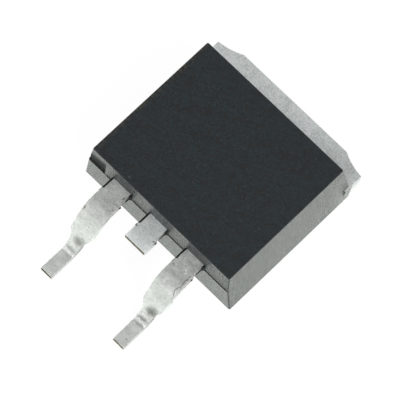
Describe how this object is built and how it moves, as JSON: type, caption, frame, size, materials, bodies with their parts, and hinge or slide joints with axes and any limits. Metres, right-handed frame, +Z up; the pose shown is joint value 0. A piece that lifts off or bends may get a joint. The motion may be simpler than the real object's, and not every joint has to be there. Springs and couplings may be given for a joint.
{
  "type": "surface-mount power mosfet transistor",
  "caption": "Flat moulded power transistor with a wide metal drain tab behind and bent gate and source leads in front, a cropped stub between them.",
  "frame": {"origin": "middle of the footprint, on the seating plane that the tab's underside and the two feet share", "axes": "+Z up from the board through the top face; the leads point to -Y and the drain tab to +Y; the gate lead is on the -X side"},
  "size_m": [0.0102, 0.015, 0.0042],
  "materials": {
    "epoxy_molding": "matt charcoal mould texture, satin on the drafted sides",
    "tinned_copper": "pale grey matt tin plate over copper, bare copper at cut ends",
    "silicon": "polished, with a metallised top",
    "solder": "dull grey",
    "bond_wire": "bright drawn wire"
  },
  "bodies": {
    "root": {"molded_case": "epoxy_molding", "drain_tab": "tinned_copper", "gate_lead": "tinned_copper", "source_lead": "tinned_copper", "silicon_die": "silicon", "die_solder": "solder", "gate_wire": "bond_wire", "source_wire_1": "bond_wire", "source_wire_2": "bond_wire"}
  },
  "joints": []
}
